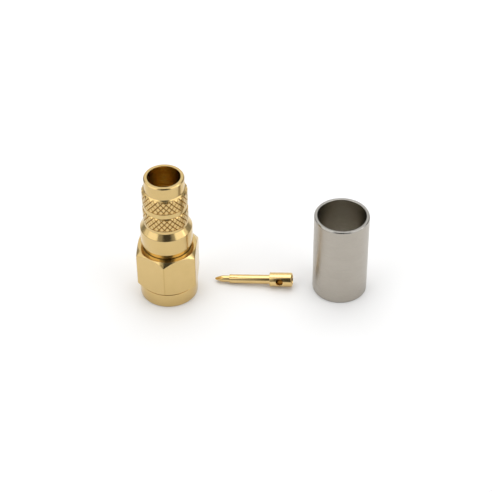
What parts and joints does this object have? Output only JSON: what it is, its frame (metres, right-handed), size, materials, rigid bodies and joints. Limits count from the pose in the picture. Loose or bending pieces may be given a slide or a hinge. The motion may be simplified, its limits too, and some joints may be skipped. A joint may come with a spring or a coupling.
{
  "type": "sma crimp connector",
  "caption": "Coaxial crimp plug: knurled crimp body with captive hexagon coupling nut, loose centre contact and crimp ferrule.",
  "frame": {"origin": "centre of the coupling nut's front face, on the surface that the pieces stand on", "axes": "+Z along the connector's axis towards the cable end; the ferrule stands and the contact lies at +X of the body"},
  "size_m": [0.0314, 0.0092, 0.0197],
  "materials": {
    "body_gold": "gold plated brass, polished",
    "nut_gold": "gold plated brass, polished",
    "ring_bronze": "spring bronze, plain",
    "insulator": "turned fluoropolymer",
    "gasket_rubber": "silicone rubber",
    "contact_gold": "gold plated brass, polished",
    "ferrule_nickel": "nickel plated, satin"
  },
  "bodies": {
    "body": {"connector_body": "body_gold", "retaining_ring": "ring_bronze", "dielectric": "insulator", "gasket": "gasket_rubber", "contact_pin": "contact_gold", "crimp_ferrule": "ferrule_nickel"},
    "nut": {"coupling_nut": "nut_gold"}
  },
  "joints": [
    {"name": "nut_spin", "type": "hinge", "parent": "body", "child": "nut", "pos_m": [0, 0, 0.004], "axis": [0, 0, 1], "continuous": true}
  ]
}
